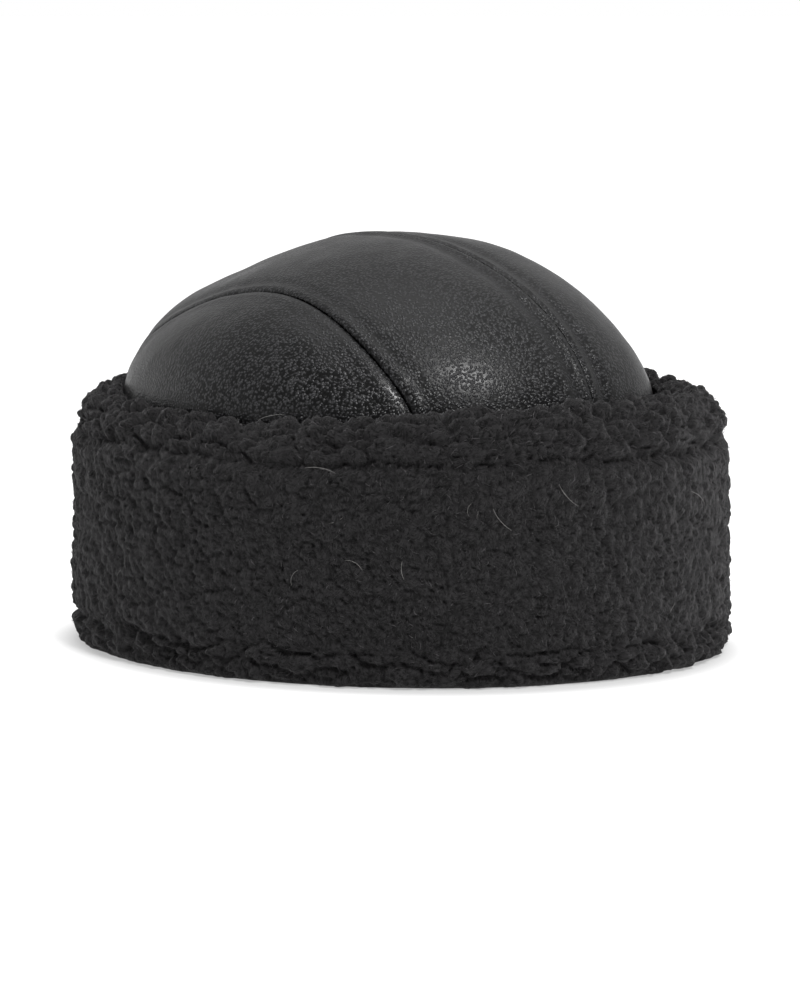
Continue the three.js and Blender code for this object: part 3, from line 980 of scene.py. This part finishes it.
class HAT_OT_crown_wool(bpy.types.Operator):
    """Makes the wool inside the crown"""
    bl_idname = "hat.crown_wool"
    bl_label = "Crown wool"

    def execute(self, context):
        crown, curls = context.scene.hat_crown, context.scene.hat_curls
        rng = np.random.default_rng(CROWN_SEED)
        piece = self.lined_dome(crown)
        centres, ups = curl_centres(piece, curls.pitch * INNER_WOOL["wider"], rng, above_floor)
        locks, aside = lock_directions(centres, ups, rng)
        places, up = corners(piece), normals(piece)
        heights, cells = curl_field(places, centres, CURL_BEND, rng)
        swell = INNER_WOOL["swell"] * wavy(places, INNER_WOOL["swell_size"], INNER_WOOL["swell_seed"])
        lumps = INNER_WOOL["relief"] * (heights - CURL_LEVEL) + swell
        set_corners(piece, places - up * lumps[:, None])
        wall = piece.modifiers.new("depth", "SOLIDIFY")
        wall.thickness = crown.wool - crown.skin - INNER_WOOL["leather_gap"]
        wall.offset = 1
        # Painted shade: the crown's wool is darker down between its curls.
        set_tone(piece, np.clip(1 - INNER_WOOL["tone"] + INNER_WOOL["tone"] * heights, 0, 1))
        set_locks(piece, places, cells, centres, locks, aside, rng)
        finish_piece(piece, "curly_fleece", bpy.data.materials["curly_wool"], "crown_fleece")
        return {"FINISHED"}

    def lined_dome(self, crown):
        """The face of the wool as an open dome with its wall, from the upper half of a cube."""
        bm = bmesh.new()
        bmesh.ops.create_cube(bm, size=2)
        bmesh.ops.subdivide_edges(bm, edges=bm.edges[:], cuts=BALL_CUTS, use_grid_fill=True)
        bmesh.ops.delete(bm, geom=[v for v in bm.verts if v.co.z < BELOW], context="VERTS")
        piece = object_from("wool_crown", bm)
        directions = corners(piece)
        directions /= np.linalg.norm(directions, axis=1)[:, None]
        angle = np.arcsin(np.clip(directions[:, 2], 0, 1))
        reach = np.cos(np.clip((angle - WALL_ANGLE) / (math.pi / 2 - WALL_ANGLE), 0, 1) * math.pi / 2)
        across = reach / np.maximum(np.hypot(directions[:, 0], directions[:, 1]), TINY)
        wall = crown.rim - crown.lower_edge - INNER_WOOL["foot_gap"]
        drop = np.clip(1 - angle / WALL_ANGLE, 0, 1) * wall
        u, v = directions[:, 0] * across, directions[:, 1] * across
        set_corners(piece, crown_points(u, v, drop, crown, inset=crown.wool, panelled=False))
        steady(piece)
        face_up(piece)
        return piece


TAPER_POWER = 2.5  # how late a hair grows thin towards its ends
ANGLE_SLACK = 0.01  # so that a corner just before a hair's start isn't taken for its end


def curl_template(sides, steps, bend, turn, rise, thickness, taper):
    """One curved hair: part of a helix that arches over the XY plane, its ends in line with X,
    drifting along Y, and thinner at both ends. Returns its vertices and faces."""
    bm = bmesh.new()
    bmesh.ops.create_circle(bm, cap_ends=True, segments=sides, radius=thickness)
    bmesh.ops.transform(
        bm, verts=bm.verts, matrix=Matrix.Translation((bend, 0, 0)) @ Matrix.Rotation(math.pi / 2, 4, "X"))
    bmesh.ops.spin(
        bm, geom=bm.verts[:] + bm.edges[:] + bm.faces[:], cent=(0, 0, 0), axis=(0, 0, 1),
        dvec=(0, 0, rise / steps), angle=turn, steps=steps, use_merge=False, use_duplicate=False)
    bmesh.ops.recalc_face_normals(bm, faces=bm.faces)
    bmesh.ops.triangulate(bm, faces=[f for f in bm.faces if len(f.verts) > 4])
    bm.verts.ensure_lookup_table()
    for vert in bm.verts:
        angle = (math.atan2(vert.co.y, vert.co.x) + ANGLE_SLACK) % math.tau - ANGLE_SLACK
        share = min(1.0, max(0.0, angle / turn))
        middle = Vector((bend * math.cos(angle), bend * math.sin(angle), rise * share))
        width = 1 - taper * abs(2 * share - 1) ** TAPER_POWER
        vert.co = middle + (vert.co - middle) * width
    upright = Matrix.Rotation(math.pi / 2, 4, "X") @ Matrix.Rotation((math.pi - turn) / 2, 4, "Z")
    bmesh.ops.transform(bm, verts=bm.verts, matrix=upright)
    verts = np.array([v.co for v in bm.verts])
    faces = [[v.index for v in f.verts] for f in bm.faces]
    bm.free()
    return verts, faces


def joined_copies(name, templates, picks, frames, tones):
    """One mesh of many copies. frames holds a 3 x 4 matrix for each copy, picks its template."""
    verts, loops, starts, tone = [], [], [], []
    base = start = 0
    for which, (shape, faces) in enumerate(templates):
        chosen = np.flatnonzero(picks == which)
        if not len(chosen):
            continue
        placed = np.einsum("nij,vj->nvi", frames[chosen][:, :, :3], shape) + frames[chosen][:, None, :, 3]
        verts.append(placed.reshape(-1, 3))
        sizes = np.array([len(f) for f in faces])
        flat = np.concatenate([np.array(f) for f in faces])
        offsets = base + np.arange(len(chosen)) * len(shape)
        loops.append((flat[None, :] + offsets[:, None]).ravel())
        face_starts = np.r_[0, np.cumsum(sizes)[:-1]]
        starts.append((face_starts[None, :] + start + np.arange(len(chosen))[:, None] * len(flat)).ravel())
        tone.append(np.repeat(tones[chosen], len(shape)))
        base += len(chosen) * len(shape)
        start += len(chosen) * len(flat)
    verts, loops, starts = np.concatenate(verts), np.concatenate(loops), np.concatenate(starts)
    mesh = bpy.data.meshes.new(name)
    mesh.vertices.add(len(verts))
    mesh.vertices.foreach_set("co", verts.ravel())
    mesh.loops.add(len(loops))
    mesh.loops.foreach_set("vertex_index", loops.astype(np.int32))
    mesh.polygons.add(len(starts))
    mesh.polygons.foreach_set("loop_start", starts.astype(np.int32))
    mesh.update(calc_edges=True)
    mesh.polygons.foreach_set("use_smooth", np.ones(len(starts), bool))
    piece = bpy.data.objects.new(name, mesh)
    bpy.context.scene.collection.objects.link(piece)
    set_tone(piece, np.concatenate(tone))
    return piece


MOST_ON_FACE = 3  # places on one face
LEAST_WEIGHT = 0.05  # of a corner of the face in such a place


def spread_on(piece, share, rng, keep):
    """Random places on a mesh's four-sided faces, about one for each share of the area: points
    and the directions they face. Each face has draws of its own."""
    quads = face_corners(piece)
    at = corners(piece)
    facing = normals(piece)
    a, b, c, d = (at[quads[:, i]] for i in range(4))
    area = np.linalg.norm(np.cross(c - a, d - b), axis=1) / 2
    quads = np.sort(quads, axis=1)
    number = np.minimum((area / share + rng.random(len(quads))).astype(int), MOST_ON_FACE)
    weights = LEAST_WEIGHT + rng.random((len(quads), MOST_ON_FACE, 4))
    number[~keep(at[quads].mean(1), facing[quads].mean(1))] = 0
    which = np.repeat(np.arange(len(quads)), number)
    nth = np.arange(len(which)) - np.repeat(np.cumsum(number) - number, number)
    w = weights[which, nth]
    w /= w.sum(1)[:, None]
    points = (at[quads[which]] * w[:, :, None]).sum(1)
    directions = (facing[quads[which]] * w[:, :, None]).sum(1)
    directions /= np.linalg.norm(directions, axis=1)[:, None]
    return points, directions


def thin_out(points, least):
    """Which points stay when each keeps its distance from those before it."""
    tree = tree_of(points)
    stays = np.ones(len(points), bool)
    for i, p in enumerate(points):
        if not stays[i]:
            continue
        for _, j, _ in tree.find_range(p, least):
            if j > i:
                stays[j] = False
    return stays


def turned_frames(points, along, across, ups, yaw, lean, sizes):
    """Placings on a surface: x along a lock, y across it, z out of the surface, then turned
    about z by yaw, leant over sideways by lean, and scaled."""
    turned = along * np.cos(yaw)[:, None] + across * np.sin(yaw)[:, None]
    side = across * np.cos(yaw)[:, None] - along * np.sin(yaw)[:, None]
    out = ups * np.cos(lean)[:, None] + side * np.sin(lean)[:, None]
    side = side * np.cos(lean)[:, None] - ups * np.sin(lean)[:, None]
    frames = np.stack([turned, side, out], 2) * sizes[:, None, None]
    return np.concatenate([frames, points[:, :, None]], 2)


# The hairs: part of a helix with its radius and drift in millimetres and its turn in radians,
# and how thick they are beside the hair radius.
HAIR_SHAPES = (
    {"bend": 1.1, "turn": 2.9, "drift": 0.6, "thick": 1.0},
    {"bend": 1.4, "turn": 2.5, "drift": -0.7, "thick": 1.2},
    {"bend": 0.8, "turn": 3.6, "drift": 0.9, "thick": 0.9},
    {"bend": 1.8, "turn": 2.2, "drift": 0.5, "thick": 1.0},
    {"bend": 1.0, "turn": 3.2, "drift": -1.1, "thick": 1.1},
    {"bend": 0.7, "turn": 4.2, "drift": 0.8, "thick": 0.9},
)
STRAY_SHAPES = (
    {"bend": 7, "turn": 1.0, "drift": -3, "thick": 0.7},
    {"bend": 11, "turn": 0.8, "drift": 4, "thick": 0.7},
    {"bend": 4.5, "turn": 1.6, "drift": 2, "thick": 0.7},
    {"bend": 5.5, "turn": 1.5, "drift": -4, "thick": 0.7},
)
HAIR_FORM = {"sides": 3, "steps": 2, "taper": 0.8}
STRAY_FORM = {"sides": 3, "steps": 9, "taper": 0.5}
# The heights between which each mesh of hairs lies, in millimetres, and how long they are.
HAIR_BANDS = (
    {"name": "hairs_cuff_low", "seed": 11, "low": 4, "high": 36, "length": 0.85},
    {"name": "hairs_cuff_middle", "seed": 12, "low": 36, "high": 76, "length": 0.75},
    {"name": "hairs_cuff_top", "seed": 13, "low": 76, "high": 130, "length": 1.0},
)
STRAY_BAND = {"seed": 19, "low": 12, "high": 92}
HAIR_PITCH = 0.4  # of the curls' pitch
HAIR_SINK = 1.0 * MM  # how deep the feet of the hairs lie
HAIR_CHANCE = {"yaw": 1.6, "lean": 1.1, "least": 0.75, "spread": 0.6}
STRAY_CHANCE = {"lean": 1.15, "lean_spread": 0.3, "least": 0.7, "spread": 0.6}
HAIR_TONE = {"least": 0.1, "spread": 0.9, "power": 3}


def hair_templates(shapes, form, radius):
    """A hair for each shape."""
    return [
        curl_template(
            form["sides"], form["steps"], row["bend"] * MM, row["turn"], row["drift"] * MM,
            radius * row["thick"], form["taper"])
        for row in shapes
    ]


def within(band):
    """A test for places on the outside of the cuff between the heights of a band."""
    def keep(at, up):
        return (at[:, 2] > band["low"] * MM) & (at[:, 2] <= band["high"] * MM) & outward(at, up)
    return keep


class HAT_OT_hairs(bpy.types.Operator):
    """Lays fine curved hairs over the curls of the cuff"""
    bl_idname = "hat.hairs"
    bl_label = "Hairs"

    def execute(self, context):
        curls = context.scene.hat_curls
        wool = wool_material("wool_hairs", context.scene.hat_cuff, False)
        templates = hair_templates(HAIR_SHAPES, HAIR_FORM, curls.hair_radius)
        outside = bpy.data.objects["wool_cuff_outside"]
        for band in HAIR_BANDS:
            rng = np.random.default_rng(band["seed"])
            centres, ups = curl_centres(outside, curls.pitch * HAIR_PITCH, rng, within(band))
            locks, across = lock_directions(centres, ups, rng)
            count = min(curls.hairs // len(HAIR_BANDS), len(centres))
            chosen = rng.permutation(len(centres))[:count]
            yaw = HAIR_CHANCE["yaw"] * (rng.random(count) - 0.5)
            lean = HAIR_CHANCE["lean"] * (rng.random(count) - 0.5)
            sizes = band["length"] * (HAIR_CHANCE["least"] + HAIR_CHANCE["spread"] * rng.random(count))
            sunk = centres[chosen] - ups[chosen] * (HAIR_SINK * sizes)[:, None]
            frames = turned_frames(sunk, locks[chosen], across[chosen], ups[chosen], yaw, lean, sizes)
            picks = rng.integers(len(templates), size=count)
            tones = HAIR_TONE["least"] + HAIR_TONE["spread"] * rng.random(count) ** HAIR_TONE["power"]
            piece = joined_copies(band["name"], templates, picks, frames, tones)
            finish_piece(piece, "curly_fleece", wool, "cuff_fleece")
        self.stray_hairs(outside, curls)
        return {"FINISHED"}

    def stray_hairs(self, outside, curls):
        """A few long pale hairs that lie loose on the cuff."""
        rng = np.random.default_rng(STRAY_BAND["seed"])
        long_hairs = hair_templates(STRAY_SHAPES, STRAY_FORM, curls.hair_radius)
        points, ups = spread_on(outside, curls.stray_spacing ** 2, rng, within(STRAY_BAND))
        locks, across = lock_directions(points, ups, rng)
        count = len(points)
        yaw = math.tau * rng.random(count)
        lean = STRAY_CHANCE["lean"] + STRAY_CHANCE["lean_spread"] * rng.random(count)
        sizes = STRAY_CHANCE["least"] + STRAY_CHANCE["spread"] * rng.random(count)
        frames = turned_frames(points - ups * HAIR_SINK, locks, across, ups, yaw, lean, sizes)
        picks = rng.integers(len(long_hairs), size=count)
        piece = joined_copies("hairs_stray", long_hairs, picks, frames, np.ones(count))
        finish_piece(piece, "curly_fleece", kemp_material(), "cuff_fleece")


# Stage


# Metre pixels are the pixels of the view to a metre at the hat, and the base pixel is where
# the middle of its footprint shows.
CAMERA = {
    "turn": 52, "distance": 1.78, "height": 0.28, "metre_pixels": 1 / 0.00039,
    "base_pixel": (399, 638), "frame": (800, 1000), "sensor": 36, "clip": (0.05, 60),
}
LIGHTS = (
    {"name": "key", "place": (-0.52, -1.03, 1.45), "size": 0.4, "power": 22},
    {"name": "top", "place": (-0.1, 0.1, 1.5), "size": 1.0, "power": 3},
)
LIGHT_TARGET = (0, 0, 0.09)
FLOOR = {"radius": 12, "sides": 64, "grey": 0.45}
# The floor glows white, and its glow fades under the hat and close round it, a painted shadow.
# Reaches are shares of the cuff's oval, which is moved by shift towards the camera's side.
FLOOR_GLOW_AND_PAINTED_SHADOW = {"shift": (0.055, 0.04, 0), "inner": 0.95, "outer": 1.12, "under": 0.4, "open": 0.98}
# The light from all round: dim from the camera's side and brighter from behind the hat.
BACKDROP = {"rise": 0.25, "front": -0.3, "back": 0.5, "dim": 0.15, "bright": 0.6}


class HAT_OT_stage(bpy.types.Operator):
    """Makes the floor, the lights and the camera"""
    bl_idname = "hat.stage"
    bl_label = "Stage"

    def execute(self, context):
        scene = context.scene
        scene.view_settings.view_transform = "Standard"
        self.make_floor(scene.hat_cuff)
        self.make_world(scene)
        self.make_lights(scene)
        self.make_camera(scene)
        return {"FINISHED"}

    def make_floor(self, cuff):
        """A white glowing table with a painted shadow: its glow is dimmer under the hat and close round it.
        """
        bm = bmesh.new()
        bmesh.ops.create_circle(bm, cap_ends=True, segments=FLOOR["sides"], radius=FLOOR["radius"])
        floor = object_from("floor", bm)
        material, tree, shader = new_material(
            "white_table_with_painted_shadow", Roughness=0.9, Base_Color=grey(FLOOR["grey"]), Emission_Color=grey(1))
        oval = add_node(tree, "ShaderNodeVectorMath", {
            "operation": "MULTIPLY_ADD", 1: (1 / cuff.half_width, 1 / cuff.half_length, 0),
            2: FLOOR_GLOW_AND_PAINTED_SHADOW["shift"]}, {0: place_on_piece(tree)})
        away = add_node(tree, "ShaderNodeVectorMath", {"operation": "LENGTH"}, {0: oval.outputs[0]})
        # Painted shadow: the floor's glow is dimmer near the hat, reaching further on the camera's side.
        glow_with_painted_shadow = add_node(tree, "ShaderNodeMapRange", {
            "interpolation_type": "SMOOTHSTEP", "From Min": FLOOR_GLOW_AND_PAINTED_SHADOW["inner"], "From Max": FLOOR_GLOW_AND_PAINTED_SHADOW["outer"],
            "To Min": FLOOR_GLOW_AND_PAINTED_SHADOW["under"], "To Max": FLOOR_GLOW_AND_PAINTED_SHADOW["open"]}, {"Value": away.outputs["Value"]})
        tree.links.new(glow_with_painted_shadow.outputs[0], shader.inputs["Emission Strength"])
        floor.data.materials.append(material)

    def make_world(self, scene):
        """Soft light from all round, and white where the camera sees past the floor."""
        world = bpy.data.worlds.new("studio")
        scene.world = world
        world.use_nodes = True
        tree = world.node_tree
        direction = add_node(tree, "ShaderNodeTexCoord").outputs["Generated"]
        turn = math.radians(CAMERA["turn"])
        behind = add_node(tree, "ShaderNodeVectorMath", {
            "operation": "DOT_PRODUCT", 1: (math.sin(turn), math.cos(turn), BACKDROP["rise"])},
            {0: direction})
        backdrop = add_node(tree, "ShaderNodeMapRange", {
            "From Min": BACKDROP["front"], "From Max": BACKDROP["back"],
            "To Min": BACKDROP["dim"], "To Max": BACKDROP["bright"]}, {"Value": behind.outputs["Value"]})
        seen = add_node(tree, "ShaderNodeLightPath").outputs["Is Camera Ray"]
        strength = add_node(tree, "ShaderNodeMath", {
            "operation": "MAXIMUM"}, {0: backdrop.outputs[0], 1: seen})
        background = tree.nodes["Background"]
        background.inputs["Color"].default_value = grey(1)
        tree.links.new(strength.outputs[0], background.inputs["Strength"])

    def make_lights(self, scene):
        """Two area lights that look at the hat."""
        for row in LIGHTS:
            light = bpy.data.lights.new(row["name"], "AREA")
            light.size = row["size"]
            light.energy = row["power"]
            lamp = bpy.data.objects.new(row["name"], light)
            lamp.location = row["place"]
            aim = Vector(LIGHT_TARGET) - Vector(row["place"])
            lamp.rotation_euler = aim.to_track_quat("-Z", "Y").to_euler()
            scene.collection.objects.link(lamp)

    def make_camera(self, scene):
        """The camera, at the place from which the outlines fit."""
        turn = math.radians(CAMERA["turn"])
        distance = CAMERA["distance"]
        focal_pixels = distance * CAMERA["metre_pixels"]
        width, height = CAMERA["frame"]
        across, down = CAMERA["base_pixel"][0] - width / 2, CAMERA["base_pixel"][1] - height / 2
        lens = bpy.data.cameras.new("camera")
        lens.sensor_width = CAMERA["sensor"]
        lens.lens = lens.sensor_width * focal_pixels / height
        lens.clip_start, lens.clip_end = CAMERA["clip"]
        camera = bpy.data.objects.new("camera", lens)
        camera.location = (-distance * math.sin(turn), -distance * math.cos(turn), CAMERA["height"])
        tilt = math.atan2(CAMERA["height"], distance) - math.atan2(down, focal_pixels)
        yaw = math.atan2(across, focal_pixels)
        camera.rotation_euler = (math.pi / 2 - tilt, 0, -turn + yaw)
        scene.collection.objects.link(camera)
        scene.camera = camera


class HAT_PT_panel(bpy.types.Panel):
    """Lists the operators that make the hat"""
    bl_idname = "HAT_PT_panel"
    bl_label = "Roller hat"
    bl_space_type = "VIEW_3D"
    bl_region_type = "UI"
    bl_category = "Hat"

    def draw(self, context):
        for operator in OPERATORS:
            self.layout.operator(operator.bl_idname)


OPERATORS = (
    HAT_OT_stage, HAT_OT_crown_leather, HAT_OT_cuff_wool, HAT_OT_crown_wool, HAT_OT_hairs)
GROUPS = {"hat_crown": CrownSizes, "hat_cuff": CuffSizes, "hat_curls": CurlSizes}


def register():
    for group in GROUPS.values():
        bpy.utils.register_class(group)
    for operator in OPERATORS:
        bpy.utils.register_class(operator)
    bpy.utils.register_class(HAT_PT_panel)
    for name, group in GROUPS.items():
        setattr(bpy.types.Scene, name, PointerProperty(type=group))


def unregister():
    for name in GROUPS:
        delattr(bpy.types.Scene, name)
    bpy.utils.unregister_class(HAT_PT_panel)
    for operator in reversed(OPERATORS):
        bpy.utils.unregister_class(operator)
    for group in reversed(list(GROUPS.values())):
        bpy.utils.unregister_class(group)


def main():
    register()
    bpy.ops.hat.stage()
    bpy.ops.hat.crown_leather()
    bpy.ops.hat.cuff_wool()
    bpy.ops.hat.crown_wool()
    bpy.ops.hat.hairs()
    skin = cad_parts["cuff_skin"]
    skin.data.materials.clear()
    skin.data.materials.append(suede_material())


if __name__ == "__main__":
    main()
